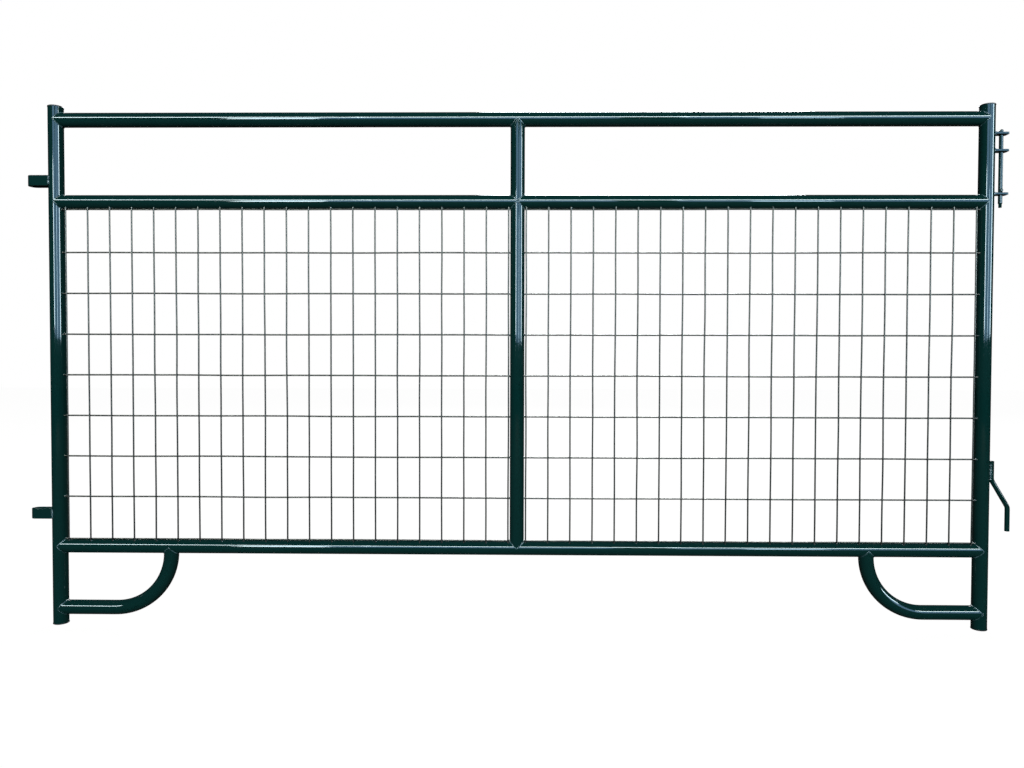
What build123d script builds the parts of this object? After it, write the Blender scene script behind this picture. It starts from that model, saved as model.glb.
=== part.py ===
from build123d import *
import math
import os

os.makedirs("parts", exist_ok=True)

# Driving dimensions in millimetres. Z is up, the front of the panel faces -Y.

# Round steel tube used for the posts, rails, centre posts and feet
TUBE_R = 17.4
BORE_R = 15.9
COPE_BLUNT = 5.0  # tube ends stop this far short of the crossing axis

# Frame layout, all to tube centre lines
POST_X = 1129.5
OVERALL_H = 1270.0
TOP_RAIL_Z = 1237.0
MIDDLE_RAIL_Z = 1037.5
BOTTOM_RAIL_Z = 193.0

# Bent foot tubes
FOOT_Z = 40.0
FOOT_LEG_OFFSET = 276.5  # upright leg, measured from the post
FOOT_BEND_R = 137.0

# Plastic plugs in the post ends
FLANGE_T = 2.5
FLANGE_R = 18.0
STEM_R = 15.3
RIB_R = 16.0
STEM_LEN = 20.0
PLUG_WALL = 1.8

# Welded mesh
WIRE_R = 1.9
UPRIGHTS = 21
CROSS_WIRES = 9
INNER_GAP = 2.1  # edge upright to centre post
OUTER_GAP = 8.1  # edge upright to end post
END_GAP = 4.3  # last regular cross wire place to rail
EDGE_SHIFT = 5.0  # the two edge cross wires sit this much closer to the rails
UPRIGHT_Y = -9.6
CROSS_Y = -6.0
WIRE_BITE = 1.0  # how far a wire end sinks into the tube surface

# Strap loops on the left post
LOOP_Z = (1088.5, 274.0)
LOOP_H = 25.0
LOOP_T = 4.0
LOOP_OUTER_R = 14.0
REACH = 67.5  # loop and hook both end this far from the post centre line

# Pin tabs on the right post
TAB_Z = (1201.0, 1160.0, 1056.5)
TAB_T = 5.0
TAB_W = 20.0
TAB_REACH = 49.0
TAB_CORNER_R = 6.0
PIN_OFFSET = 34.0
TAB_HOLE_R = 5.5

# Drop pin and its stop
PIN_R = 4.75
PIN_TOP_Z = 1211.5
PIN_TIP_Z = 1024.0
TIP_R = 3.6
TIP_LEN = 10.0
STOP_GAP = 0.3  # stop to bottom tab at rest
STOP_RADII = (3.9, 3.4, 5.2)

# Hook rod on the right post
HOOK_R = 5.5
HOOK_Y = -3.0
HOOK_TOP_Z = 412.0
HOOK_BEND_Z = (366.0, 300.0)
HOOK_TIP_Z = 241.0
HOOK_BEND_R = 20.0
HOOK_BITE = 0.2


def rod(start, end, radius):
    """Solid round bar between two points."""
    a = Vector(*start)
    b = Vector(*end)
    plane = Plane(origin=a, z_dir=b - a)
    return extrude(plane * Circle(radius), amount=(b - a).length)


def tube(start, end):
    """Hollow tube between two points, open at both ends."""
    return rod(start, end, TUBE_R) - rod(start, end, BORE_R)


def post_core(x):
    """Solid cylinder the size of a post, used to cope what meets it."""
    return rod((x, 0, -10), (x, 0, OVERALL_H + 10), TUBE_R)


def rail_core(z):
    """Solid cylinder the size of a rail, used to cope what meets it."""
    return rod((-POST_X, 0, z), (POST_X, 0, z), TUBE_R)


def post(x):
    return tube((x, 0, FLANGE_T), (x, 0, OVERALL_H - FLANGE_T))


def rail(z):
    """Rail with both ends saddle cut to sit against the posts."""
    end = POST_X - COPE_BLUNT
    body = tube((-end, 0, z), (end, 0, z))
    return body - post_core(-POST_X) - post_core(POST_X)


def centre_post(low, high):
    """Short upright with both ends saddle cut to sit against the rails."""
    body = tube((0, 0, low + COPE_BLUNT), (0, 0, high - COPE_BLUNT))
    return body - rail_core(low) - rail_core(high)


def foot_tube():
    """Left foot: out from the post, round a quarter bend, up to the bottom rail."""
    leg_x = -POST_X + FOOT_LEG_OFFSET
    bend_x = leg_x - FOOT_BEND_R
    bend_z = FOOT_Z + FOOT_BEND_R
    run = Line((-POST_X + COPE_BLUNT, 0, FOOT_Z), (bend_x, 0, FOOT_Z))
    mid = FOOT_BEND_R * math.sqrt(0.5)
    bend = ThreePointArc(
        (bend_x, 0, FOOT_Z),
        (bend_x + mid, 0, bend_z - mid),
        (leg_x, 0, bend_z),
    )
    rise = Line((leg_x, 0, bend_z), (leg_x, 0, BOTTOM_RAIL_Z - COPE_BLUNT))
    path = Wire([run.edge(), bend.edge(), rise.edge()])
    start = Plane(origin=(-POST_X + COPE_BLUNT, 0, FOOT_Z), z_dir=(1, 0, 0))
    skin = sweep(start * Circle(TUBE_R), path=path)
    bore = sweep(start * Circle(BORE_R), path=path)
    return skin - bore - post_core(-POST_X) - rail_core(BOTTOM_RAIL_Z)


def plug():
    """Hollow ribbed end plug standing on its flange, stem pointing up."""
    profile = Polyline(
        (0, 0),
        (FLANGE_R - 1.2, 0),
        (FLANGE_R, 1.2),
        (FLANGE_R, FLANGE_T),
        (STEM_R, FLANGE_T),
        (STEM_R, 7),
        (RIB_R, 8),
        (RIB_R, 9.5),
        (STEM_R, 10.5),
        (STEM_R, 14),
        (RIB_R, 15),
        (RIB_R, 16.5),
        (STEM_R, 17.5),
        (STEM_R - 0.8, STEM_LEN),
        (STEM_R - PLUG_WALL, STEM_LEN),
        (STEM_R - PLUG_WALL, FLANGE_T),
        (0, FLANGE_T),
        (0, 0),
    )
    return revolve(Plane.XZ * make_face(profile), axis=Axis.Z)


def foot_plug(x):
    return Pos(x, 0, 0) * plug()


def top_plug(x):
    return Pos(x, 0, OVERALL_H) * Rot(180, 0, 0) * plug()


def bite_depth(offset_y):
    """Distance from a tube centre line to a wire end sunk into its surface."""
    return math.sqrt(TUBE_R**2 - offset_y**2) - WIRE_BITE


def mesh_uprights(side):
    """Front layer of one bay: upright wires from the bottom to the middle rail."""
    low = BOTTOM_RAIL_Z + bite_depth(UPRIGHT_Y)
    high = MIDDLE_RAIL_Z - bite_depth(UPRIGHT_Y)
    first = TUBE_R + INNER_GAP + WIRE_R
    last = POST_X - TUBE_R - OUTER_GAP - WIRE_R
    pitch = (last - first) / (UPRIGHTS - 1)
    spots = [side * (first + i * pitch) for i in range(UPRIGHTS)]
    return [rod((x, UPRIGHT_Y, low), (x, UPRIGHT_Y, high), WIRE_R) for x in spots]


def mesh_cross_wires(side):
    """Rear layer of one bay: level wires from the centre post to the end post."""
    inner = side * bite_depth(CROSS_Y)
    outer = side * (POST_X - bite_depth(CROSS_Y))
    margin = TUBE_R + END_GAP + WIRE_R
    first = BOTTOM_RAIL_Z + margin
    pitch = (MIDDLE_RAIL_Z - BOTTOM_RAIL_Z - 2 * margin) / (CROSS_WIRES - 1)
    spots = [first + i * pitch for i in range(CROSS_WIRES)]
    spots[0] -= EDGE_SHIFT
    spots[-1] += EDGE_SHIFT
    return [rod((inner, CROSS_Y, z), (outer, CROSS_Y, z), WIRE_R) for z in spots]


def slot_shape(radius):
    """Half of a slot: round at the far end, square where it meets the post."""
    end_x = -POST_X - REACH + LOOP_OUTER_R
    run = end_x - (-POST_X)
    nose = Pos(end_x, 0) * Circle(radius)
    return nose + Pos(-POST_X + run / 2, 0) * Rectangle(-run, 2 * radius)


def strap_loop(z):
    """Flat bar bent into a U on edge and welded to the left post."""
    ring = slot_shape(LOOP_OUTER_R) - slot_shape(LOOP_OUTER_R - LOOP_T)
    body = extrude(Pos(0, 0, z - LOOP_H / 2) * ring, amount=LOOP_H)
    return body - post_core(-POST_X)


def pin_tab(z):
    """Flat tab with a hole for the drop pin, welded to the right post."""
    plate = Pos(POST_X + TAB_REACH / 2, 0) * Rectangle(TAB_REACH, TAB_W)
    outer = plate.vertices().filter_by(lambda v: v.X > POST_X + TAB_REACH - 1)
    plate = fillet(outer, TAB_CORNER_R)
    plate = plate - Pos(POST_X + PIN_OFFSET, 0) * Circle(TAB_HOLE_R)
    body = extrude(Pos(0, 0, z - TAB_T / 2) * plate, amount=TAB_T)
    return body - post_core(POST_X)


def latch_pin():
    """Round pin with a turned-down tip and a low crowned head."""
    shoulder = PIN_TIP_Z + TIP_LEN
    profile = Polyline(
        (0, PIN_TIP_Z),
        (TIP_R - 0.8, PIN_TIP_Z),
        (TIP_R, PIN_TIP_Z + 0.8),
        (TIP_R, shoulder - 1.2),
        (PIN_R, shoulder),
        (PIN_R, PIN_TOP_Z - 2.4),
        (PIN_R - 1.1, PIN_TOP_Z - 0.9),
        (PIN_R - 2.8, PIN_TOP_Z),
        (0, PIN_TOP_Z),
        (0, PIN_TIP_Z),
    )
    body = revolve(Plane.XZ * make_face(profile), axis=Axis.Z)
    return Pos(POST_X + PIN_OFFSET, 0, 0) * body


def latch_pin_stop():
    """Blob of weld on the front of the pin that keeps it from dropping out."""
    seat = TAB_Z[2] + TAB_T / 2 + STOP_GAP
    blob = scale(Sphere(1), by=STOP_RADII)
    return Pos(POST_X + PIN_OFFSET, -PIN_R, seat + STOP_RADII[2]) * blob


def drop_hook():
    """Round rod welded down the right post, cranked out and then down again."""
    near = POST_X + math.sqrt((TUBE_R + HOOK_R - HOOK_BITE) ** 2 - HOOK_Y**2)
    far = POST_X + REACH - HOOK_R
    path = FilletPolyline(
        (near, HOOK_Y, HOOK_TOP_Z),
        (near, HOOK_Y, HOOK_BEND_Z[0]),
        (far, HOOK_Y, HOOK_BEND_Z[1]),
        (far, HOOK_Y, HOOK_TIP_Z),
        radius=HOOK_BEND_R,
    )
    start = Plane(origin=(near, HOOK_Y, HOOK_TOP_Z), z_dir=(0, 0, -1))
    return sweep(start * Circle(HOOK_R), path=path)


def save(name, shape):
    export_step(shape, f"parts/{name}.step")


def save_group(name, solids):
    save(name, Compound(children=[solid for solid in solids]))


left_foot = foot_tube()

save("left_post", post(-POST_X))
save("right_post", post(POST_X))
save("top_rail", rail(TOP_RAIL_Z))
save("middle_rail", rail(MIDDLE_RAIL_Z))
save("bottom_rail", rail(BOTTOM_RAIL_Z))
save("centre_post_upper", centre_post(MIDDLE_RAIL_Z, TOP_RAIL_Z))
save("centre_post_lower", centre_post(BOTTOM_RAIL_Z, MIDDLE_RAIL_Z))
save("left_foot_tube", left_foot)
save("right_foot_tube", mirror(left_foot, about=Plane.YZ))
save("left_post_top_plug", top_plug(-POST_X))
save("right_post_top_plug", top_plug(POST_X))
save("left_post_foot_plug", foot_plug(-POST_X))
save("right_post_foot_plug", foot_plug(POST_X))
save_group("mesh_left_uprights", mesh_uprights(-1))
save_group("mesh_left_cross_wires", mesh_cross_wires(-1))
save_group("mesh_right_uprights", mesh_uprights(1))
save_group("mesh_right_cross_wires", mesh_cross_wires(1))
save("upper_loop", strap_loop(LOOP_Z[0]))
save("lower_loop", strap_loop(LOOP_Z[1]))
save("pin_tab_top", pin_tab(TAB_Z[0]))
save("pin_tab_middle", pin_tab(TAB_Z[1]))
save("pin_tab_bottom", pin_tab(TAB_Z[2]))
save("drop_hook", drop_hook())
save("latch_pin", latch_pin())
save("latch_pin_stop", latch_pin_stop())
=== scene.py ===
"""Looks of a tubular livestock panel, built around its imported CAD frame."""

import math
import random

import bmesh
import bpy
from mathutils import Matrix, Vector, noise


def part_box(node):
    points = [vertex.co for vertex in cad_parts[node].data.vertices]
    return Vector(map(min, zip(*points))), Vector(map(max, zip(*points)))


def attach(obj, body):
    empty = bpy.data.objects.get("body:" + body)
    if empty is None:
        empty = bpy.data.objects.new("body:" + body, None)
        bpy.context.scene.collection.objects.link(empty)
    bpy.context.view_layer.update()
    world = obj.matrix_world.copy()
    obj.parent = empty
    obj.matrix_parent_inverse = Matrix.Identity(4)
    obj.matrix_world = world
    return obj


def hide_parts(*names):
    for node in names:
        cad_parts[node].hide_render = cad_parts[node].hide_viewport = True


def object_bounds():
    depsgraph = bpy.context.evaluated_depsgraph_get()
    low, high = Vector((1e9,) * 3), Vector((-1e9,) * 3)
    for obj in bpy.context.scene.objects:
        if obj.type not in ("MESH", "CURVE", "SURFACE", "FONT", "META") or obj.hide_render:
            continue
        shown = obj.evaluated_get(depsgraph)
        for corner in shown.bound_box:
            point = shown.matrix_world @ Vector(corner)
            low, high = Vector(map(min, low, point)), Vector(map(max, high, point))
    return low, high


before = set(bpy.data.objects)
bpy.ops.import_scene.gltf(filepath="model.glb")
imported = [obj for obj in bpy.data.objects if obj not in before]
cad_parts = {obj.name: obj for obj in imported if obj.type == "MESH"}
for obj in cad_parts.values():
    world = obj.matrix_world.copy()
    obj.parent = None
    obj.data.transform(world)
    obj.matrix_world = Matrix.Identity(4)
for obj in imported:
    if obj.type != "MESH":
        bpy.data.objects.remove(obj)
cad_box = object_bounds()

bl_info = {
    "name": "Livestock Panel",
    "version": (1, 0, 0),
    "blender": (4, 5, 0),
    "location": "View3D > Sidebar > Panel Gate",
    "description": "Builds a welded tube livestock panel with mesh, latch pin and hook",
    "category": "Add Mesh",
}

MM = 0.001
X_AXIS = Vector((1, 0, 0))
Y_AXIS = Vector((0, 1, 0))
Z_AXIS = Vector((0, 0, 1))


# ---------------------------------------------------------------- sizes from the frame


def node_centre(node):
    """Middle of a CAD node's box."""
    low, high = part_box(node)
    return (low + high) / 2


def node_size(node):
    """Sides of a CAD node's box."""
    low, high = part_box(node)
    return high - low


TUBE_R = node_size("left_post").y / 2
POST_X = node_centre("right_post").x
POST_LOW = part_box("right_post")[0].z
POST_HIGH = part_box("right_post")[1].z
TOP_Z = node_centre("top_rail").z
MIDDLE_Z = node_centre("middle_rail").z
BOTTOM_Z = node_centre("bottom_rail").z
FOOT_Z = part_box("right_foot_tube")[0].z + TUBE_R
FOOT_LEG_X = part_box("right_foot_tube")[0].x + TUBE_R
FOOT_BEND_R = 137 * MM
PIN_X = node_centre("latch_pin").x
PIN_R = node_size("latch_pin").x / 2

# Sizes that the frame's boxes don't show.
PIN_TIP_R = 3.6 * MM
PIN_TIP_LENGTH = 10 * MM
TAB_HOLE_R = 5.5 * MM
TAB_CORNER_R = 4 * MM
STRAP_T = 4 * MM
HOOK_BEND_R = 20 * MM
HOOK_BENDS_Z = (366 * MM, 300 * MM)
UPRIGHTS = 21
CROSS_WIRES = 9
EDGE_SHIFT = 5 * MM  # the two edge cross wires lie closer to the rails than their pitch

# Slots of the frame's materials.
TUBE_SLOT = "green_powder_coat"
MESH_SLOT = "mesh_powder_coat"
PLUG_SLOT = "black_plastic"

BEAD_SIDES = 10
CAMERA_PLACE = (0.0103, -1.8112, 0.6365)
CAMERA_YAW, CAMERA_PITCH, CAMERA_ROLL = 0.0126, -0.0226, -0.0025
CAMERA_LENS = 26.05
LAMP_AIM_Z = 0.6
WINDOW_DISTANCE = 14.0


# ---------------------------------------------------------------- settings


class PanelSizes(bpy.types.PropertyGroup):
    """Sizes that the CAD frame leaves free."""

    sides: bpy.props.IntProperty(
        name="Tube Sides",
        description="Faces round each tube",
        default=64,
        min=16,
        max=128,
    )
    wall: bpy.props.FloatProperty(
        name="Tube Wall",
        description="Wall thickness of the tubes",
        default=1.5 * MM,
        unit="LENGTH",
        subtype="DISTANCE",
    )
    bead: bpy.props.FloatProperty(
        name="Weld Bead",
        description="Radius of a weld bead between two tubes",
        default=3.0 * MM,
        unit="LENGTH",
        subtype="DISTANCE",
    )
    sway: bpy.props.FloatProperty(
        name="Wire Sway",
        description="How far a mesh wire wanders from straight",
        default=0.7 * MM,
        unit="LENGTH",
        subtype="DISTANCE",
    )


class PanelColours(bpy.types.PropertyGroup):
    """Finishes of the panel and the colour of its two window lights."""

    paint: bpy.props.FloatVectorProperty(
        name="Frame Paint",
        description="Dark green powder coat on the tubes",
        subtype="COLOR",
        size=3,
        min=0,
        max=1,
        default=(0.0009, 0.0135, 0.0127),
    )
    wire: bpy.props.FloatVectorProperty(
        name="Wire Paint",
        description="Powder coat on the mesh wires",
        subtype="COLOR",
        size=3,
        min=0,
        max=1,
        default=(0.001, 0.0022, 0.0022),
    )
    plug: bpy.props.FloatVectorProperty(
        name="Plug Plastic",
        description="Black plastic of the post end plugs",
        subtype="COLOR",
        size=3,
        min=0,
        max=1,
        default=(0.006, 0.007, 0.008),
    )
    window: bpy.props.FloatVectorProperty(
        name="Window Light",
        description="Colour of the two large soft lights in front of the panel",
        subtype="COLOR",
        size=3,
        min=0,
        max=1,
        default=(0.36, 0.64, 1.0),
    )


def sizes():
    return bpy.context.scene.panel_sizes


def colours():
    return bpy.context.scene.panel_colours


# ---------------------------------------------------------------- shader helpers


def link(tree, source, target):
    tree.links.new(source, target)


def new_node(tree, kind, place=(0, 0), **values):
    node = tree.nodes.new(kind)
    node.location = place
    for key, value in values.items():
        setattr(node, key, value)
    return node


def new_group(name, inputs, outputs):
    """Empty shader group with named sockets; inputs are (name, type, default)."""
    tree = bpy.data.node_groups.new(name, "ShaderNodeTree")
    for label, kind, value in inputs:
        socket = tree.interface.new_socket(label, in_out="INPUT", socket_type=kind)
        if value is not None:
            socket.default_value = value
    for label, kind in outputs:
        tree.interface.new_socket(label, in_out="OUTPUT", socket_type=kind)
    return tree, new_node(tree, "NodeGroupInput"), new_node(tree, "NodeGroupOutput")


def orange_peel_group():
    """Fine pebbled skin of sprayed and baked powder, as a height."""
    name = "Powder Coat Skin"
    if name in bpy.data.node_groups:
        return bpy.data.node_groups[name]
    tree, start, end = new_group(
        name,
        [("Vector", "NodeSocketVector", None), ("Pebble Scale", "NodeSocketFloat", 420.0),
         ("Sag Scale", "NodeSocketFloat", 26.0), ("Sag Amount", "NodeSocketFloat", 0.5)],
        [("Height", "NodeSocketFloat")],
    )
    pebble = new_node(tree, "ShaderNodeTexNoise", noise_dimensions="3D")
    pebble.inputs["Detail"].default_value = 1.5
    link(tree, start.outputs["Vector"], pebble.inputs["Vector"])
    link(tree, start.outputs["Pebble Scale"], pebble.inputs["Scale"])
    sag = new_node(tree, "ShaderNodeTexNoise", noise_dimensions="3D")
    sag.inputs["Detail"].default_value = 2.0
    link(tree, start.outputs["Vector"], sag.inputs["Vector"])
    link(tree, start.outputs["Sag Scale"], sag.inputs["Scale"])
    weighted = new_node(tree, "ShaderNodeMath", operation="MULTIPLY_ADD")
    link(tree, sag.outputs["Fac"], weighted.inputs[0])
    link(tree, start.outputs["Sag Amount"], weighted.inputs[1])
    link(tree, pebble.outputs["Fac"], weighted.inputs[2])
    link(tree, weighted.outputs[0], end.inputs["Height"])
    return tree


def tint_group():
    """Slow cloudy change of tone over a coat, with a roughness mask; on the weld beads the lighter
    patches are painted glints.
    """
    name = "Coat Tint"
    if name in bpy.data.node_groups:
        return bpy.data.node_groups[name]
    tree, start, end = new_group(
        name,
        [("Vector", "NodeSocketVector", None), ("Color", "NodeSocketColor", (0.1, 0.1, 0.1, 1)),
         ("Dust Color", "NodeSocketColor", (0.2, 0.2, 0.2, 1)), ("Amount", "NodeSocketFloat", 0.2),
         ("Cloud Scale", "NodeSocketFloat", 9.0)],
        [("Color", "NodeSocketColor"), ("Dust And Glint", "NodeSocketFloat")],
    )
    cloud = new_node(tree, "ShaderNodeTexNoise", noise_dimensions="3D")
    cloud.inputs["Detail"].default_value = 4.0
    cloud.inputs["Roughness"].default_value = 0.62
    link(tree, start.outputs["Vector"], cloud.inputs["Vector"])
    link(tree, start.outputs["Cloud Scale"], cloud.inputs["Scale"])
    ramp = new_node(tree, "ShaderNodeMapRange", clamp=True)
    ramp.inputs["From Min"].default_value = 0.38
    ramp.inputs["From Max"].default_value = 0.78
    link(tree, cloud.outputs["Fac"], ramp.inputs["Value"])
    share = new_node(tree, "ShaderNodeMath", operation="MULTIPLY")
    link(tree, ramp.outputs["Result"], share.inputs[0])
    link(tree, start.outputs["Amount"], share.inputs[1])
    mix = new_node(tree, "ShaderNodeMix", data_type="RGBA", blend_type="MIX")
    link(tree, share.outputs[0], mix.inputs[0])
    link(tree, start.outputs["Color"], mix.inputs[6])
    link(tree, start.outputs["Dust Color"], mix.inputs[7])
    link(tree, mix.outputs[2], end.inputs["Color"])
    link(tree, share.outputs[0], end.inputs["Dust And Glint"])
    return tree


def coat_material(name, colour, dust_and_glint, amount, rough, bump, pebble, sag=0.5, sag_scale=26.0,
                  cloud=9.0, shine=0.5, gloss_tint=(1, 1, 1)):
    """Baked powder coat: tinted colour, slightly pebbled skin and a gloss that cloudy patches dull,
    which are dust on most coats and painted glints on the weld beads.

    rough is the roughness where clean and under the patches; bump is the height of the skin in
    metres.
    """
    if name in bpy.data.materials:
        return bpy.data.materials[name]
    material = bpy.data.materials.new(name)
    material.use_nodes = True
    tree = material.node_tree
    shader = tree.nodes["Principled BSDF"]
    shader.inputs["Specular IOR Level"].default_value = shine
    shader.inputs["Specular Tint"].default_value = (*gloss_tint, 1)
    place = new_node(tree, "ShaderNodeTexCoord", (-900, 0))
    tint = new_node(tree, "ShaderNodeGroup", (-600, 150), node_tree=tint_group())
    tint.inputs["Color"].default_value = (*colour, 1)
    # The patch colour is dust on most coats and a painted glint on the weld beads.
    tint.inputs["Dust Color"].default_value = (*dust_and_glint, 1)
    tint.inputs["Amount"].default_value = amount
    tint.inputs["Cloud Scale"].default_value = cloud
    link(tree, place.outputs["Object"], tint.inputs["Vector"])
    link(tree, tint.outputs["Color"], shader.inputs["Base Color"])
    gloss = new_node(tree, "ShaderNodeMapRange", (-350, 0), clamp=True)
    gloss.inputs["To Min"].default_value, gloss.inputs["To Max"].default_value = rough
    link(tree, tint.outputs["Dust And Glint"], gloss.inputs["Value"])
    link(tree, gloss.outputs["Result"], shader.inputs["Roughness"])
    skin = new_node(tree, "ShaderNodeGroup", (-600, -200), node_tree=orange_peel_group())
    skin.inputs["Pebble Scale"].default_value = pebble
    skin.inputs["Sag Amount"].default_value = sag
    skin.inputs["Sag Scale"].default_value = sag_scale
    link(tree, place.outputs["Object"], skin.inputs["Vector"])
    relief = new_node(tree, "ShaderNodeBump", (-350, -200))
    relief.inputs["Strength"].default_value = 1.0
    relief.inputs["Distance"].default_value = bump
    link(tree, skin.outputs["Height"], relief.inputs["Height"])
    link(tree, relief.outputs["Normal"], shader.inputs["Normal"])
    return material


def frame_paint():
    return coat_material(
        "baked_frame_paint", colours().paint, dust_and_glint=(0.002, 0.016, 0.0155), amount=0.35,
        rough=(0.045, 0.09), bump=0.005 * MM, pebble=700.0, sag=14.0,
    )


def weld_paint():
    # The light blue-grey patches are painted glints: colour standing in for light caught by the
    # bead's ripples.
    return coat_material(
        "painted_weld_bead", colours().paint, dust_and_glint=(0.055, 0.11, 0.13), amount=0.9,
        rough=(0.1, 0.22), bump=0.18 * MM, pebble=620.0, sag=3.0, sag_scale=190.0, cloud=80.0,
    )


def wire_paint():
    return coat_material(
        "baked_wire_paint", colours().wire, dust_and_glint=(0.003, 0.004, 0.004), amount=0.5,
        rough=(0.32, 0.5), bump=0.03 * MM, pebble=900.0, cloud=20.0, shine=0.95,
        gloss_tint=(1, 0.88, 0.74),
    )


def plug_plastic():
    return coat_material(
        "moulded_plug_plastic", colours().plug, dust_and_glint=(0.01, 0.01, 0.01), amount=0.4,
        rough=(0.42, 0.6), bump=0.12 * MM, pebble=1400.0, sag=0.1,
    )


def pin_paint():
    return coat_material(
        "baked_pin_paint", colours().paint, dust_and_glint=(0.004, 0.02, 0.02), amount=0.5,
        rough=(0.07, 0.16), bump=0.01 * MM, pebble=600.0,
    )


# ---------------------------------------------------------------- modelling helpers


def object_mode():
    if bpy.context.object and bpy.context.object.mode != "OBJECT":
        bpy.ops.object.mode_set(mode="OBJECT")


def edit_mode():
    bpy.ops.object.mode_set(mode="EDIT")


def deselect_all():
    object_mode()
    bpy.ops.object.select_all(action="DESELECT")


def facing(direction):
    """Euler angles that turn the Z axis of a new primitive to a direction."""
    return Vector(direction).to_track_quat("Z", "Y").to_euler()


def place_in_mesh():
    """Moves the object's place into its mesh, leaving the object at the origin."""
    bpy.ops.object.transform_apply(location=True, rotation=True, scale=True)


def start_ring(centre, direction, radius, sides):
    """Open circle of edges, left in edit mode with everything selected."""
    deselect_all()
    bpy.ops.mesh.primitive_circle_add(
        vertices=sides, radius=radius, location=centre, rotation=facing(direction)
    )
    place_in_mesh()
    edit_mode()
    bpy.ops.mesh.select_all(action="SELECT")
    bpy.ops.mesh.select_mode(type="EDGE")


def pull(vector):
    """Extrudes what is selected along a vector."""
    bpy.ops.mesh.extrude_region_move(TRANSFORM_OT_translate={"value": tuple(vector)})


def turn(centre, axis, angle, steps):
    """Extrudes what is selected round an axis; spin counts angles the other way."""
    bpy.ops.mesh.spin(steps=steps, angle=-angle, center=tuple(centre), axis=tuple(axis))


def cap_ends():
    """Closes every open rim with one face."""
    bpy.ops.mesh.select_all(action="DESELECT")
    bpy.ops.mesh.select_mode(type="EDGE")
    bpy.ops.mesh.select_non_manifold(
        extend=False, use_wire=False, use_boundary=True, use_multi_face=False,
        use_non_contiguous=False, use_verts=False,
    )
    bpy.ops.mesh.fill_holes(sides=0)


def outward():
    bpy.ops.mesh.select_all(action="SELECT")
    bpy.ops.mesh.remove_doubles(threshold=0.00001)
    bpy.ops.mesh.normals_make_consistent(inside=False)


def select_near(point, reach):
    """Selects the faces with a corner within reach of a point."""
    bpy.ops.mesh.select_all(action="DESELECT")
    mesh = bmesh.from_edit_mesh(bpy.context.object.data)
    for face in mesh.faces:
        near = any((corner.co - Vector(point)).length < reach for corner in face.verts)
        face.select_set(near)
    bmesh.update_edit_mesh(bpy.context.object.data)


def trim(point, normal, reach):
    """Cuts away what lies near a point on the side the normal points to."""
    bpy.ops.mesh.select_mode(type="FACE")
    select_near(point, reach)
    bpy.ops.mesh.bisect(
        plane_co=tuple(point), plane_no=tuple(normal), use_fill=False, clear_outer=True
    )


def saddle_trim(point, along, across):
    """Cuts a tube end to the V that fits round an equal tube: two planes at 45 degrees."""
    along = Vector(along)
    across = Vector(across)
    trim(point, along + across, 2.5 * TUBE_R)
    trim(point, along - across, 2.5 * TUBE_R)


def apply_modifier(kind, **values):
    obj = bpy.context.object
    modifier = obj.modifiers.new(kind.title(), kind)
    for key, value in values.items():
        setattr(modifier, key, value)
    bpy.ops.object.modifier_apply(modifier=modifier.name)


def give_wall():
    """Turns the outer skin into a tube wall that grows inwards."""
    object_mode()
    apply_modifier("SOLIDIFY", thickness=sizes().wall, offset=-1, use_rim=True)


def smooth(angle=35):
    object_mode()
    bpy.ops.object.shade_smooth_by_angle(angle=math.radians(angle))


def round_edges(width, angle):
    """Rounds the edges sharper than an angle, and keeps the flat faces beside them flat."""
    object_mode()
    apply_modifier("BEVEL", width=width, segments=3, limit_method="ANGLE",
                   angle_limit=math.radians(angle))
    smooth(60)
    apply_modifier("WEIGHTED_NORMAL", weight=50, keep_sharp=True)


def finish_piece(name, body, slot, material, *nodes):
    """Names, dresses and mounts the active object on its body."""
    object_mode()
    obj = bpy.context.object
    obj.name = name
    obj.data.name = name
    obj.data.materials.clear()
    obj.data.materials.append(material)
    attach(obj, body)
    if nodes:
        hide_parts(*nodes)
    return obj


def resize_about(centre, factors):
    """Scales what is selected about a point."""
    bpy.ops.transform.resize(value=tuple(factors), center_override=tuple(centre))


def lathe(axis_x, profile, sides):
    """Round piece on a vertical axis; profile is (radius, height) from one end to the other."""
    radius, height = profile[0]
    start_ring((axis_x, 0, height), Z_AXIS, radius, sides)
    for new_radius, new_height in profile[1:]:
        pull((0, 0, new_height - height))
        ratio = new_radius / radius
        resize_about((axis_x, 0, new_height), (ratio, ratio, 1))
        radius, height = new_radius, new_height
    cap_ends()
    outward()


def noise_at(seed, *place):
    """Smooth repeatable value between about -1 and 1."""
    return noise.noise(Vector((seed * 13.7 + 0.5, 0.3, 0.7)) + Vector(place))


def bead_frame(points, normals, index):
    """Across and outward directions of a bead at one of its points."""
    ahead = points[(index + 1) % len(points)]
    behind = points[index - 1]
    tangent = (ahead - behind).normalized()
    out = normals[index] - tangent * normals[index].dot(tangent)
    out.normalize()
    return tangent.cross(out), out


def closed_bead(points, normals, radii):
    """Weld bead that runs round a closed seam, shaped from a torus."""
    deselect_all()
    bpy.ops.mesh.primitive_torus_add(
        major_segments=len(points), minor_segments=BEAD_SIDES, major_radius=0.02, minor_radius=0.002
    )
    mesh = bpy.context.object.data
    for index, centre in enumerate(points):
        across, out = bead_frame(points, normals, index)
        for spoke in range(BEAD_SIDES):
            angle = 2 * math.pi * spoke / BEAD_SIDES
            offset = across * math.cos(angle) * 1.15 + out * math.sin(angle) * 0.85
            mesh.vertices[index * BEAD_SIDES + spoke].co = centre + offset * radii[index]
    edit_mode()
    outward()
    smooth(60)


def ripple(seed, index, count, depth):
    """Uneven frozen waves of a hand-laid bead."""
    wave = 0.5 * math.cos(index * math.pi / 2)
    return 1 + depth * wave + 0.3 * noise_at(seed, index * 9.0 / count, 0, 0)


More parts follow.
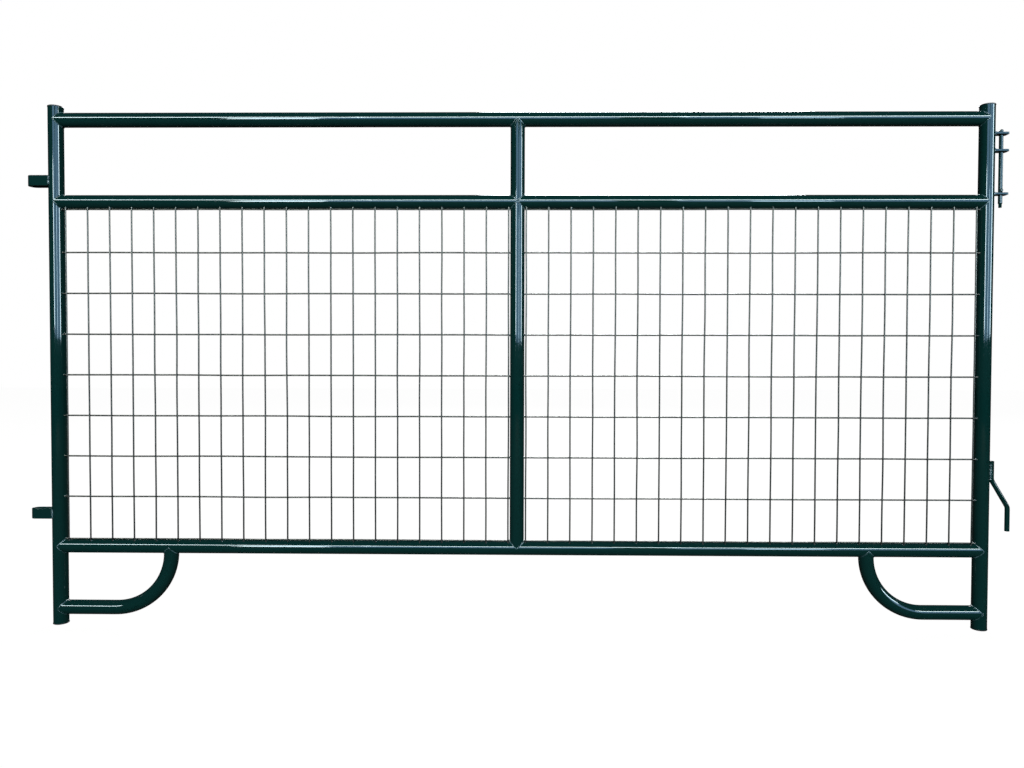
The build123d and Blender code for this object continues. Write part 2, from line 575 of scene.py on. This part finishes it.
def saddle_bead(centre, along, across, seed):
    """Bead round the seam of a tube end on an equal tube, lowest at the front and back."""
    count = 168
    corner = 0.008  # rounds the seam's sharp turn at the front and back
    along, across = Vector(along), Vector(across)
    points, normals, radii = [], [], []
    for index in range(count):
        turn_angle = 2 * math.pi * index / count
        side, depth = math.sin(turn_angle), math.cos(turn_angle)
        reach = math.sqrt(side * side + corner)
        out = (along * reach + across * side + 2 * Y_AXIS * depth).normalized()
        wave = ripple(seed, index, count, 0.45)
        radius = sizes().bead * (0.85 + 0.25 * abs(side)) * (0.6 + 0.4 * wave)
        proud = (0.36 * MM + 0.9 * MM * side * side) * wave
        sway = 0.7 * MM * noise_at(seed + 50, index * 14.0 / count, 0, 0)
        spot = Vector(centre) + TUBE_R * (along * reach + across * side + Y_AXIS * depth)
        points.append(spot + along * sway - out * (radius * 0.85 - proud))
        normals.append(out)
        radii.append(radius)
    closed_bead(points, normals, radii)


def open_bead(points, out, radius, seed):
    """Short bead along a line, rounded off at both ends, shaped from a sphere."""
    rings = len(points) - 1
    deselect_all()
    bpy.ops.mesh.primitive_uv_sphere_add(segments=BEAD_SIDES, ring_count=rings, radius=1)
    mesh = bpy.context.object.data
    out = Vector(out).normalized()
    for vertex in mesh.vertices:
        level = math.acos(max(-1, min(1, vertex.co.z))) / math.pi
        step = round(level * rings)
        ahead = points[min(step + 1, rings)] - points[max(step - 1, 0)]
        across = ahead.normalized().cross(out)
        swell = min(1, 3.5 * math.sin(math.pi * level)) ** 0.5
        swell *= radius * ripple(seed, step, rings, 0.35)
        angle = math.atan2(vertex.co.y, vertex.co.x)
        offset = across * math.cos(angle) * 1.1 + out * math.sin(angle) * 0.9
        vertex.co = points[step] + offset * swell
    edit_mode()
    outward()
    smooth(60)


def lump(centre, radii, seed):
    """Small frozen blob of weld."""
    deselect_all()
    bpy.ops.mesh.primitive_ico_sphere_add(subdivisions=4, radius=1)
    for vertex in bpy.context.object.data.vertices:
        spot = vertex.co.copy()
        swell = 1 + 0.1 * noise_at(seed, *(spot * 1.6)) + 0.03 * noise_at(seed, *(spot * 5))
        vertex.co = Vector(centre) + Vector(s * r for s, r in zip(spot * swell, radii))
    smooth(60)


def join_pieces(parts):
    """Joins several objects into the last of them."""
    deselect_all()
    for part in parts:
        part.select_set(True)
    bpy.context.view_layer.objects.active = parts[-1]
    bpy.ops.object.join()


def line_points(start, end, count):
    """Evenly spaced points of a straight line."""
    start, end = Vector(start), Vector(end)
    return [start.lerp(end, step / (count - 1)) for step in range(count)]


def straight_tube(start, end):
    """Outer skin of a straight tube, left in edit mode."""
    start = Vector(start)
    run = Vector(end) - start
    start_ring(start, run, TUBE_R, sizes().sides)
    pull(run)
    outward()


def finish_tube(node, ending):
    """Gives a tube its wall and paint, in place of its CAD node."""
    give_wall()
    smooth()
    finish_piece(f"{node}_{ending}", "frame", TUBE_SLOT, frame_paint(), node)


# ---------------------------------------------------------------- stage


def soft_light(name, centre, target, width, height, radiance, colour):
    """Flat soft light seen in the gloss of the paint; radiance is what it looks like."""
    data = bpy.data.lights.new(name, "AREA")
    data.shape = "RECTANGLE"
    data.size = width
    data.size_y = height
    data.energy = radiance * math.pi * width * height
    data.color = colour
    lamp = bpy.data.objects.new(name, data)
    bpy.context.collection.objects.link(lamp)
    lamp.location = centre
    lamp.rotation_euler = (Vector(target) - Vector(centre)).to_track_quat("-Z", "Y").to_euler()
    return lamp


def far_light(name, azimuth, spread, low, high, radiance, colour):
    """Distant flat light between two elevations, in degrees; azimuth 0 is straight in front."""
    heading = math.radians(azimuth)
    low_z = LAMP_AIM_Z + WINDOW_DISTANCE * math.tan(math.radians(low))
    high_z = LAMP_AIM_Z + WINDOW_DISTANCE * math.tan(math.radians(high))
    ahead = Vector((math.sin(heading), -math.cos(heading), 0)) * WINDOW_DISTANCE
    centre = ahead + Z_AXIS * (low_z + high_z) / 2
    width = 2 * WINDOW_DISTANCE * math.tan(math.radians(spread) / 2)
    lamp = soft_light(name, centre, (0, 0, centre.z), width, high_z - low_z, radiance, colour)
    lamp.visible_diffuse = False
    return lamp


def floor_material():
    """Pale floor that stays dim in the reflections of the tubes."""
    material = bpy.data.materials.new("studio_floor")
    material.use_nodes = True
    tree = material.node_tree
    shader = tree.nodes["Principled BSDF"]
    out = tree.nodes["Material Output"]
    place = new_node(tree, "ShaderNodeTexCoord", (-800, 200))
    tint = new_node(tree, "ShaderNodeGroup", (-500, 200), node_tree=tint_group())
    tint.inputs["Color"].default_value = (0.02, 0.019, 0.018, 1)
    tint.inputs["Dust Color"].default_value = (0.012, 0.012, 0.012, 1)
    tint.inputs["Cloud Scale"].default_value = 1.5
    link(tree, place.outputs["Object"], tint.inputs["Vector"])
    link(tree, tint.outputs["Color"], shader.inputs["Base Color"])
    shader.inputs["Roughness"].default_value = 0.9
    shader.inputs["Specular IOR Level"].default_value = 0.0
    shader.inputs["Emission Color"].default_value = (1, 1, 1, 1)
    shader.inputs["Emission Strength"].default_value = 0.985
    dim = new_node(tree, "ShaderNodeBsdfDiffuse", (0, -200))
    dim.inputs["Color"].default_value = (0.025, 0.025, 0.022, 1)
    path = new_node(tree, "ShaderNodeLightPath", (0, 300))
    mix = new_node(tree, "ShaderNodeMixShader", (300, 0))
    link(tree, path.outputs["Is Camera Ray"], mix.inputs[0])
    link(tree, dim.outputs[0], mix.inputs[1])
    link(tree, shader.outputs[0], mix.inputs[2])
    link(tree, mix.outputs[0], out.inputs["Surface"])
    return material


def make_world():
    """White to look at, dim to reflect."""
    world = bpy.data.worlds.new("studio")
    bpy.context.scene.world = world
    world.use_nodes = True
    tree = world.node_tree
    seen = tree.nodes["Background"]
    seen.inputs["Color"].default_value = (1, 1, 1, 1)
    seen.inputs["Strength"].default_value = 1.0
    lit = new_node(tree, "ShaderNodeBackground", (0, -200))
    lit.inputs["Color"].default_value = (0.8, 0.95, 1.0, 1)
    lit.inputs["Strength"].default_value = 0.03
    path = new_node(tree, "ShaderNodeLightPath", (0, 300))
    mix = new_node(tree, "ShaderNodeMixShader", (300, 0))
    link(tree, path.outputs["Is Camera Ray"], mix.inputs[0])
    link(tree, lit.outputs[0], mix.inputs[1])
    link(tree, seen.outputs[0], mix.inputs[2])
    link(tree, mix.outputs[0], tree.nodes["World Output"].inputs["Surface"])


def make_camera():
    """Camera close in front of the panel, at half its height and almost level."""
    data = bpy.data.cameras.new("camera")
    data.sensor_width = 36
    data.lens = CAMERA_LENS
    data.clip_end = 60
    data.clip_start = 0.02
    camera = bpy.data.objects.new("camera", data)
    bpy.context.collection.objects.link(camera)
    aim = Matrix.Rotation(CAMERA_YAW, 4, "Z") @ Matrix.Rotation(CAMERA_PITCH, 4, "X")
    aim = aim @ Matrix.Rotation(CAMERA_ROLL, 4, "Y") @ Matrix.Rotation(math.pi / 2, 4, "X")
    camera.matrix_world = Matrix.Translation(CAMERA_PLACE) @ aim
    bpy.context.scene.camera = camera


class PANEL_OT_stage(bpy.types.Operator):
    """Add the floor, the soft lights, the white surround and the camera"""

    bl_idname = "panel.stage"
    bl_label = "Stage"

    def execute(self, context):
        deselect_all()
        bpy.ops.mesh.primitive_plane_add(size=40, location=(0, 0, -0.0005))
        place_in_mesh()
        floor = context.object
        floor.name = "floor"
        floor.data.materials.append(floor_material())
        make_world()
        make_camera()
        window = colours().window
        # name, azimuth, spread, lowest and highest elevation, radiance, colour
        far_lights = [
            ("window_left", -7, 30, 2.5, 20.5, 4.2, window),
            ("window_right", 41.5, 57, 2.5, 20.5, 4.2, window),
            ("window_bar_left", -20, 7, 3.0, 15.0, 26.0, (0.75, 0.95, 1.0)),
            ("window_bar_middle", 22, 6, 2.5, 13.0, 14.0, (0.6, 0.85, 1.0)),
            ("window_bar_right", 66, 8, 2.5, 20.0, 26.0, (0.72, 0.94, 1.0)),
            ("window_top_1", -28, 28.5, 21.5, 26.5, 36.0, (0.76, 0.96, 1.0)),
            ("window_top_2", 0, 28.5, 21.5, 26.5, 36.0, (0.76, 0.96, 1.0)),
            ("window_top_3", 28, 28.5, 21.5, 26.5, 36.0, (0.76, 0.96, 1.0)),
        ]
        for values in far_lights:
            far_light(*values)
        aim = (0, 0, LAMP_AIM_Z)
        key = soft_light("key", (0.3, -7, 3.2), aim, 3, 3, 38.0, (1.0, 1.0, 1.0))
        key.visible_glossy = False
        soft_light("back_key", (1.5, 7, 5.2), aim, 4, 3, 30.0, (0.9, 0.97, 1.0))
        context.scene.view_settings.view_transform = "Standard"
        context.scene.view_settings.look = "None"
        return {"FINISHED"}


# ---------------------------------------------------------------- tubes


class PANEL_OT_posts(bpy.types.Operator):
    """Model the two end posts"""

    bl_idname = "panel.posts"
    bl_label = "End Posts"

    def execute(self, context):
        for name, x in (("left_post", -POST_X), ("right_post", POST_X)):
            straight_tube((x, 0, POST_LOW), (x, 0, POST_HIGH))
            finish_tube(name, "tube")
        return {"FINISHED"}


class PANEL_OT_rails(bpy.types.Operator):
    """Model the three rails, saddle cut to the posts at both ends"""

    bl_idname = "panel.rails"
    bl_label = "Rails"

    def execute(self, context):
        for name, z in (("top_rail", TOP_Z), ("middle_rail", MIDDLE_Z), ("bottom_rail", BOTTOM_Z)):
            straight_tube((-POST_X, 0, z), (POST_X, 0, z))
            saddle_trim((POST_X, 0, z), X_AXIS, Z_AXIS)
            saddle_trim((-POST_X, 0, z), -X_AXIS, Z_AXIS)
            finish_tube(name, "tube")
        return {"FINISHED"}


class PANEL_OT_centre_posts(bpy.types.Operator):
    """Model the two centre posts, saddle cut to the rails"""

    bl_idname = "panel.centre_posts"
    bl_label = "Centre Posts"

    def execute(self, context):
        spans = (
            ("centre_post_upper", MIDDLE_Z, TOP_Z),
            ("centre_post_lower", BOTTOM_Z, MIDDLE_Z),
        )
        for name, low, high in spans:
            straight_tube((0, 0, low), (0, 0, high))
            saddle_trim((0, 0, high), Z_AXIS, X_AXIS)
            saddle_trim((0, 0, low), -Z_AXIS, X_AXIS)
            finish_tube(name, "tube")
        return {"FINISHED"}


class PANEL_OT_foot_tubes(bpy.types.Operator):
    """Model the two bent foot tubes"""

    bl_idname = "panel.foot_tubes"
    bl_label = "Foot Tubes"

    def execute(self, context):
        for name, side in (("left_foot_tube", -1), ("right_foot_tube", 1)):
            post = side * POST_X
            leg = side * FOOT_LEG_X
            bend = leg + side * FOOT_BEND_R
            hub = Vector((bend, 0, FOOT_Z + FOOT_BEND_R))
            start_ring((post, 0, FOOT_Z), -side * X_AXIS, TUBE_R, sizes().sides)
            pull((bend - post, 0, 0))
            turn(hub, Y_AXIS, side * math.pi / 2, 28)
            pull((0, 0, BOTTOM_Z - hub.z))
            outward()
            saddle_trim((post, 0, FOOT_Z), side * X_AXIS, Z_AXIS)
            saddle_trim((leg, 0, BOTTOM_Z), Z_AXIS, X_AXIS)
            finish_tube(name, "bent")
        return {"FINISHED"}


# ---------------------------------------------------------------- mesh


def wire_row(start, run, steps, copies, gap, seed, edge_shift=0.0):
    """Row of equal wires, modelled once, repeated, then bent a little each."""
    radius = node_size("mesh_left_uprights").y / 2
    start, run, gap = Vector(start), Vector(run), Vector(gap)
    start_ring(start, run, radius, 10)
    for _ in range(steps):
        pull(run / steps)
    cap_ends()
    outward()
    object_mode()
    apply_modifier(
        "ARRAY", count=copies, use_relative_offset=False, use_constant_offset=True,
        constant_offset_displace=gap,
    )
    along = run.normalized()
    spacing = gap.length
    sideways = gap.normalized()
    for vertex in bpy.context.object.data.vertices:
        place = vertex.co - start
        wire = round(place.dot(sideways) / spacing)
        share = place.dot(along) / run.length
        hold = math.sin(math.pi * max(0, min(1, share))) ** 0.5
        lean = noise_at(seed + wire * 1.7, share * 5, 0, 0)
        bow = noise_at(seed + 90 + wire * 2.3, share * 3, 0, 0)
        vertex.co += sideways * sizes().sway * hold * 1.8 * lean
        vertex.co += sideways * edge_shift * ((wire == copies - 1) - (wire == 0))
        vertex.co += Y_AXIS * sizes().sway * hold * 0.25 * bow
    smooth(50)


def upright_row(side):
    """Low and high corner, depth, first wire's place and spacing of a bay's uprights."""
    low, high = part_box(f"mesh_{side}_uprights")
    radius = (high.y - low.y) / 2
    gap = (high.x - low.x - 2 * radius) / (UPRIGHTS - 1)
    return low, high, (low.y + high.y) / 2, low.x + radius, gap


def cross_row(side):
    """The same for a bay's cross wires, before the edge ones are shifted."""
    low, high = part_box(f"mesh_{side}_cross_wires")
    radius = (high.y - low.y) / 2
    gap = (high.z - low.z - 2 * radius - 2 * EDGE_SHIFT) / (CROSS_WIRES - 1)
    return low, high, (low.y + high.y) / 2, low.z + radius + EDGE_SHIFT, gap


class PANEL_OT_mesh_wires(bpy.types.Operator):
    """Model the welded mesh of both bays"""

    bl_idname = "panel.mesh_wires"
    bl_label = "Mesh Wires"

    def execute(self, context):
        for side, seed in (("left", 3), ("right", 61)):
            low, high, y, first, gap = upright_row(side)
            run = (0, 0, high.z - low.z)
            wire_row((first, y, low.z), run, 32, UPRIGHTS, (gap, 0, 0), seed)
            name = f"mesh_{side}_upright_wires"
            finish_piece(name, "frame", MESH_SLOT, wire_paint(), f"mesh_{side}_uprights")
            low, high, y, first, gap = cross_row(side)
            run = (high.x - low.x, 0, 0)
            wire_row((low.x, y, first), run, 42, CROSS_WIRES, (0, 0, gap), seed + 20, EDGE_SHIFT)
            name = f"mesh_{side}_level_wires"
            finish_piece(name, "frame", MESH_SLOT, wire_paint(), f"mesh_{side}_cross_wires")
        return {"FINISHED"}


class PANEL_OT_mesh_tacks(bpy.types.Operator):
    """Model the small tack welds where wire ends meet the tubes"""

    bl_idname = "panel.mesh_tacks"
    bl_label = "Mesh Tack Welds"

    def spots(self, side):
        """Place of each tack, and whether its wire runs level."""
        sink = 0.8 * MM
        low, high, y, first, gap = upright_row(side)
        for wire in range(UPRIGHTS):
            x = first + wire * gap
            yield Vector((x, y + 1.0 * MM, low.z + sink)), False
            yield Vector((x, y + 1.0 * MM, high.z - sink)), False
        low, high, y, first, gap = cross_row(side)
        for wire in range(CROSS_WIRES):
            z = first + wire * gap
            z += EDGE_SHIFT * ((wire == CROSS_WIRES - 1) - (wire == 0))
            yield Vector((low.x + sink, y + 0.6 * MM, z)), True
            yield Vector((high.x - sink, y + 0.6 * MM, z)), True

    def execute(self, context):
        for side, seed in (("left", 5), ("right", 6)):
            dice = random.Random(seed)
            tacks = []
            for spot, level in self.spots(side):
                deselect_all()
                bpy.ops.mesh.primitive_ico_sphere_add(
                    subdivisions=2, radius=2.9 * MM, location=spot
                )
                tack = context.object
                stretch = dice.uniform(1.0, 1.7)
                tack.scale = (stretch, 0.8, dice.uniform(0.8, 1.1))
                if not level:
                    tack.scale = (dice.uniform(0.8, 1.1), 0.8, stretch)
                tack.rotation_euler = (0, dice.uniform(-0.5, 0.5), 0)
                place_in_mesh()
                tacks.append(tack)
            join_pieces(tacks)
            smooth(60)
            finish_piece(f"mesh_{side}_tacks", "frame", MESH_SLOT, weld_paint())
        return {"FINISHED"}


# ---------------------------------------------------------------- fittings


class PANEL_OT_plugs(bpy.types.Operator):
    """Model the black plastic plugs in the post ends"""

    bl_idname = "panel.plugs"
    bl_label = "Post End Plugs"

    def execute(self, context):
        size = node_size("left_post_top_plug")
        radius = size.x / 2
        hollow = 0.2 * radius
        stem = TUBE_R - sizes().wall - 0.6 * MM
        rib = stem + 0.5 * MM
        inner = stem - 2 * MM
        flange = cad_box[1].z - POST_HIGH
        # (radius, depth below the outer face), from the dished face to inside the hollow stem
        profile = [
            (hollow, 0.1 * MM), (0.72 * radius, 0.1 * MM), (0.78 * radius, 0.0),
            (radius - 1.2 * MM, 0.0), (radius - 0.4 * MM, 0.4 * MM), (radius, 1.2 * MM),
            (radius, flange), (stem, flange),
            (stem, 7 * MM), (rib, 8 * MM), (rib, 9.5 * MM), (stem, 10.5 * MM),
            (stem, 14 * MM), (rib, 15 * MM), (rib, 16.5 * MM), (stem, 17.5 * MM),
            (stem - 0.8 * MM, size.z), (inner, size.z), (inner, flange + 0.2 * MM),
            (hollow, flange + 0.2 * MM),
        ]
        for side, x in (("left", -POST_X), ("right", POST_X)):
            lathe(x, [(r, cad_box[1].z - d) for r, d in profile], 64)
            smooth(30)
            name = f"{side}_post_top_plug"
            finish_piece(name + "_cap", "frame", PLUG_SLOT, plug_plastic(), name)
            lathe(x, [(r, d) for r, d in profile], 64)
            smooth(30)
            name = f"{side}_post_foot_plug"
            finish_piece(name + "_cap", "frame", PLUG_SLOT, plug_plastic(), name)
        return {"FINISHED"}


class PANEL_OT_loops(bpy.types.Operator):
    """Model the two strap loops on the left post"""

    bl_idname = "panel.loops"
    bl_label = "Strap Loops"

    def execute(self, context):
        for name in ("upper_loop", "lower_loop"):
            low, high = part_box(name)
            outer = (high.y - low.y) / 2
            middle = outer - STRAP_T / 2
            z = (low.z + high.z) / 2
            post_x = -POST_X - 12.5 * MM
            nose_x = low.x + outer
            deselect_all()
            bpy.ops.mesh.primitive_plane_add(
                size=1, location=(post_x, -middle, z), rotation=(0, math.pi / 2, 0)
            )
            context.object.scale = (high.z - low.z, STRAP_T, 1)
            place_in_mesh()
            edit_mode()
            bpy.ops.mesh.select_all(action="SELECT")
            bpy.ops.mesh.delete(type="ONLY_FACE")
            bpy.ops.mesh.select_mode(type="EDGE")
            bpy.ops.mesh.select_all(action="SELECT")
            pull((nose_x - post_x, 0, 0))
            turn((nose_x, 0, z), Z_AXIS, -math.pi, 36)
            pull((post_x - nose_x, 0, 0))
            cap_ends()
            outward()
            round_edges(0.7 * MM, 40)
            finish_piece(name + "_strap", "frame", TUBE_SLOT, frame_paint(), name)
        return {"FINISHED"}


def tab_edge(angle, near, far, half):
    """Distance from the pin hole to the tab's outline in one direction, by halving."""
    middle = (near + far) / 2
    reach = (far - near) / 2
    low, high = 0.0, 60 * MM
    for _ in range(30):
        trial = (low + high) / 2
        x = abs(trial * math.cos(angle) - middle)
        y = abs(trial * math.sin(angle))
        gap_x = max(x - reach + TAB_CORNER_R, 0)
        gap_y = max(y - half + TAB_CORNER_R, 0)
        inside = x < reach and y < half and math.hypot(gap_x, gap_y) < TAB_CORNER_R
        if inside:
            low = trial
        else:
            high = trial
    return low


class PANEL_OT_pin_tabs(bpy.types.Operator):
    """Model the three drilled tabs on the right post"""

    bl_idname = "panel.pin_tabs"
    bl_label = "Pin Tabs"

    def execute(self, context):
        near = POST_X + 13 * MM - PIN_X
        for name in ("pin_tab_top", "pin_tab_middle", "pin_tab_bottom"):
            low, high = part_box(name)
            half = (high.y - low.y) / 2
            start_ring((PIN_X, 0, low.z), Z_AXIS, TAB_HOLE_R, 72)
            pull((0, 0, 0))
            mesh = bmesh.from_edit_mesh(context.object.data)
            for corner in mesh.verts:
                if corner.select:
                    angle = math.atan2(corner.co.y, corner.co.x - PIN_X)
                    reach = tab_edge(angle, near, high.x - PIN_X, half)
                    corner.co.x = PIN_X + reach * math.cos(angle)
                    corner.co.y = reach * math.sin(angle)
            bmesh.update_edit_mesh(context.object.data)
            bpy.ops.mesh.select_all(action="SELECT")
            bpy.ops.mesh.normals_make_consistent(inside=False)
            pull((0, 0, high.z - low.z))
            outward()
            round_edges(0.6 * MM, 50)
            finish_piece(name + "_plate", "frame", TUBE_SLOT, frame_paint(), name)
        return {"FINISHED"}


class PANEL_OT_drop_hook(bpy.types.Operator):
    """Model the cranked hook rod on the right post"""

    bl_idname = "panel.drop_hook"
    bl_label = "Drop Hook"

    def execute(self, context):
        low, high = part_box("drop_hook")
        radius = (high.y - low.y) / 2
        y = (high.y + low.y) / 2
        near, far = low.x + radius, high.x - radius
        top_bend, low_bend = HOOK_BENDS_Z
        crank = math.atan2(far - near, top_bend - low_bend)
        setback = HOOK_BEND_R * math.tan(crank / 2)
        slope = math.hypot(far - near, top_bend - low_bend) - 2 * setback
        start_ring((near, y, high.z), -Z_AXIS, radius, 32)
        pull((0, 0, top_bend + setback - high.z))
        turn((near + HOOK_BEND_R, y, top_bend + setback), Y_AXIS, -crank, 10)
        pull((slope * math.sin(crank), 0, -slope * math.cos(crank)))
        turn((far - HOOK_BEND_R, y, low_bend - setback), Y_AXIS, crank, 10)
        pull((0, 0, low.z - (low_bend - setback)))
        cap_ends()
        outward()
        round_edges(0.9 * MM, 60)
        finish_piece("drop_hook_rod", "frame", TUBE_SLOT, frame_paint(), "drop_hook")
        return {"FINISHED"}


class PANEL_OT_latch_pin(bpy.types.Operator):
    """Model the drop pin and the lump that stops it"""

    bl_idname = "panel.latch_pin"
    bl_label = "Latch Pin"

    def execute(self, context):
        low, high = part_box("latch_pin")
        shoulder = low.z + PIN_TIP_LENGTH
        profile = [
            (PIN_TIP_R - 1.1 * MM, low.z), (PIN_TIP_R - 0.4 * MM, low.z + 0.2 * MM),
            (PIN_TIP_R, low.z + 0.9 * MM), (PIN_TIP_R, shoulder - 1.4 * MM),
            (PIN_R, shoulder), (PIN_R, shoulder + 1 * MM), (PIN_R, high.z - 3.2 * MM),
            (PIN_R, high.z - 2.4 * MM), (PIN_R - 0.4 * MM, high.z - 1.5 * MM),
            (PIN_R - 1.2 * MM, high.z - 0.7 * MM), (PIN_R - 2.4 * MM, high.z - 0.2 * MM),
            (1 * MM, high.z),
        ]
        lathe(PIN_X, profile, 40)
        smooth(40)
        finish_piece("latch_pin_rod", "latch", TUBE_SLOT, pin_paint(), "latch_pin")
        low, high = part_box("latch_pin_stop")
        # the lump swells by up to a tenth
        lump((low + high) / 2, [(h - l) / 2 / 1.1 for l, h in zip(low, high)], 8)
        finish_piece("latch_pin_stop_bead", "latch", TUBE_SLOT, weld_paint(), "latch_pin_stop")
        return {"FINISHED"}


# ---------------------------------------------------------------- welds


class PANEL_OT_tube_welds(bpy.types.Operator):
    """Model the bead round every tube joint"""

    bl_idname = "panel.tube_welds"
    bl_label = "Tube Welds"

    def execute(self, context):
        joints = []
        for name, z in (("top", TOP_Z), ("middle", MIDDLE_Z), ("bottom", BOTTOM_Z)):
            joints.append((f"{name}_rail_left", (-POST_X, 0, z), X_AXIS, Z_AXIS))
            joints.append((f"{name}_rail_right", (POST_X, 0, z), -X_AXIS, Z_AXIS))
        for side, sign in (("left", -1), ("right", 1)):
            joints.append((f"{side}_foot_post", (sign * POST_X, 0, FOOT_Z), -sign * X_AXIS, Z_AXIS))
            joints.append((f"{side}_foot_rail", (sign * FOOT_LEG_X, 0, BOTTOM_Z), -Z_AXIS, X_AXIS))
        joints.append(("centre_top", (0, 0, TOP_Z), -Z_AXIS, X_AXIS))
        joints.append(("centre_middle_over", (0, 0, MIDDLE_Z), Z_AXIS, X_AXIS))
        joints.append(("centre_middle_under", (0, 0, MIDDLE_Z), -Z_AXIS, X_AXIS))
        joints.append(("centre_bottom", (0, 0, BOTTOM_Z), Z_AXIS, X_AXIS))
        for seed, (name, centre, along, across) in enumerate(joints):
            saddle_bead(centre, along, across, seed + 1)
            finish_piece("weld_" + name, "frame", TUBE_SLOT, weld_paint())
        return {"FINISHED"}


class PANEL_OT_fitting_welds(bpy.types.Operator):
    """Model the beads that hold the loops, tabs and hook"""

    bl_idname = "panel.fitting_welds"
    bl_label = "Fitting Welds"

    def loop_beads(self, name, seed):
        """Upright beads where both legs of a loop meet the post."""
        low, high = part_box(name)
        half = (high.y - low.y) / 2
        x = -POST_X - math.sqrt(TUBE_R**2 - half**2) - 0.8 * MM
        for side in (-1, 1):
            y = side * (half + 0.2 * MM)
            points = line_points((x, y, high.z - 0.6 * MM), (x, y, low.z + 0.6 * MM), 23)
            open_bead(points, (-0.3, side, 0), 2.9 * MM, seed + side)
            yield bpy.context.object

    def tab_beads(self, name, seed):
        """Curved beads over and under a tab, where it meets the post."""
        low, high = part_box(name)
        for level, z in ((1, high.z + 0.4 * MM), (-1, low.z - 0.4 * MM)):
            points = []
            for step in range(19):
                angle = math.radians(-33 + 66 * step / 18)
                spot = Vector((math.cos(angle), math.sin(angle), 0)) * (TUBE_R + 0.4 * MM)
                points.append(Vector((POST_X, 0, z)) + spot)
            open_bead(points, (0.7, 0, level), 2.1 * MM, seed + level)
            yield bpy.context.object

    def hook_beads(self, seed):
        """Beads down both sides of the hook's straight top."""
        low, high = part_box("drop_hook")
        x = low.x + (high.y - low.y) / 2 - 4.6 * MM
        start, end = high.z - 6 * MM, HOOK_BENDS_Z[0] - 2 * MM
        for side in (-1, 1):
            y = (high.y + low.y) / 2 + side * 4 * MM
            points = line_points((x, y, start), (x, y, end), 31)
            open_bead(points, (0.3, side, 0), 2.6 * MM, seed + side)
            yield bpy.context.object

    def execute(self, context):
        welds = [
            ("upper_loop", self.loop_beads("upper_loop", 30)),
            ("lower_loop", self.loop_beads("lower_loop", 34)),
            ("pin_tab_top", self.tab_beads("pin_tab_top", 40)),
            ("pin_tab_middle", self.tab_beads("pin_tab_middle", 43)),
            ("pin_tab_bottom", self.tab_beads("pin_tab_bottom", 46)),
            ("drop_hook", self.hook_beads(50)),
        ]
        for name, beads in welds:
            join_pieces(list(beads))
            finish_piece("weld_" + name, "frame", TUBE_SLOT, weld_paint())
        return {"FINISHED"}


# ---------------------------------------------------------------- sidebar


PIECES = (
    PANEL_OT_stage,
    PANEL_OT_posts,
    PANEL_OT_rails,
    PANEL_OT_centre_posts,
    PANEL_OT_foot_tubes,
    PANEL_OT_mesh_wires,
    PANEL_OT_mesh_tacks,
    PANEL_OT_plugs,
    PANEL_OT_loops,
    PANEL_OT_pin_tabs,
    PANEL_OT_drop_hook,
    PANEL_OT_latch_pin,
    PANEL_OT_tube_welds,
    PANEL_OT_fitting_welds,
)


class PANEL_PT_sidebar(bpy.types.Panel):
    """Lists the settings and the pieces in the order they are built"""

    bl_idname = "PANEL_PT_sidebar"
    bl_label = "Livestock Panel"
    bl_space_type = "VIEW_3D"
    bl_region_type = "UI"
    bl_category = "Panel Gate"

    def draw(self, context):
        for group in (sizes(), colours()):
            for key in group.bl_rna.properties.keys():
                if key not in ("rna_type", "name"):
                    self.layout.prop(group, key)
        for piece in PIECES:
            self.layout.operator(piece.bl_idname)


CLASSES = (PanelSizes, PanelColours, *PIECES, PANEL_PT_sidebar)


def register():
    for cls in CLASSES:
        bpy.utils.register_class(cls)
    bpy.types.Scene.panel_sizes = bpy.props.PointerProperty(type=PanelSizes)
    bpy.types.Scene.panel_colours = bpy.props.PointerProperty(type=PanelColours)


def unregister():
    del bpy.types.Scene.panel_colours
    del bpy.types.Scene.panel_sizes
    for cls in reversed(CLASSES):
        bpy.utils.unregister_class(cls)


def main():
    register()
    for piece in PIECES:
        family, label = piece.bl_idname.split(".")
        getattr(getattr(bpy.ops, family), label)()


if __name__ == "__main__":
    main()
